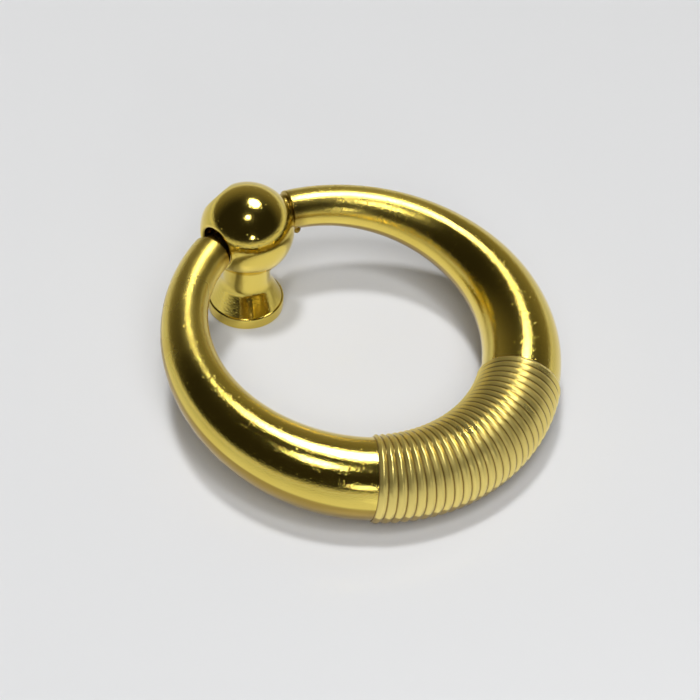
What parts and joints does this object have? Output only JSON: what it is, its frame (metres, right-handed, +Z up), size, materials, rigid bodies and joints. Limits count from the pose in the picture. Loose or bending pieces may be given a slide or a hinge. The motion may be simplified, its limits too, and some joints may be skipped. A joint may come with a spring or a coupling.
{
  "type": "ring pull handle",
  "caption": "Gold-plated ring pull for a drawer or cabinet door: a tapered ring with a ribbed grip swings in a ball-headed post that screws on from behind.",
  "frame": {"origin": "centre of the foot's underside, which lies on the drawer front", "axes": "+Z up the post, away from the drawer front; the ring's pivot along X; at rest the ring lies down towards -Y"},
  "size_m": [0.0572, 0.0598, 0.0217],
  "materials": {
    "post_plating": "mirror-bright gold plating on a casting",
    "ring_plating": "bright gold plating over a slightly grainy casting"
  },
  "bodies": {
    "post": {"post": "post_plating"},
    "ring": {"ring": "ring_plating"}
  },
  "joints": [
    {"name": "ring_swing", "type": "hinge", "parent": "post", "child": "ring", "pos_m": [0, 0, 0.0149], "axis": [-1, 0, 0], "range_deg": [0, 200]}
  ]
}
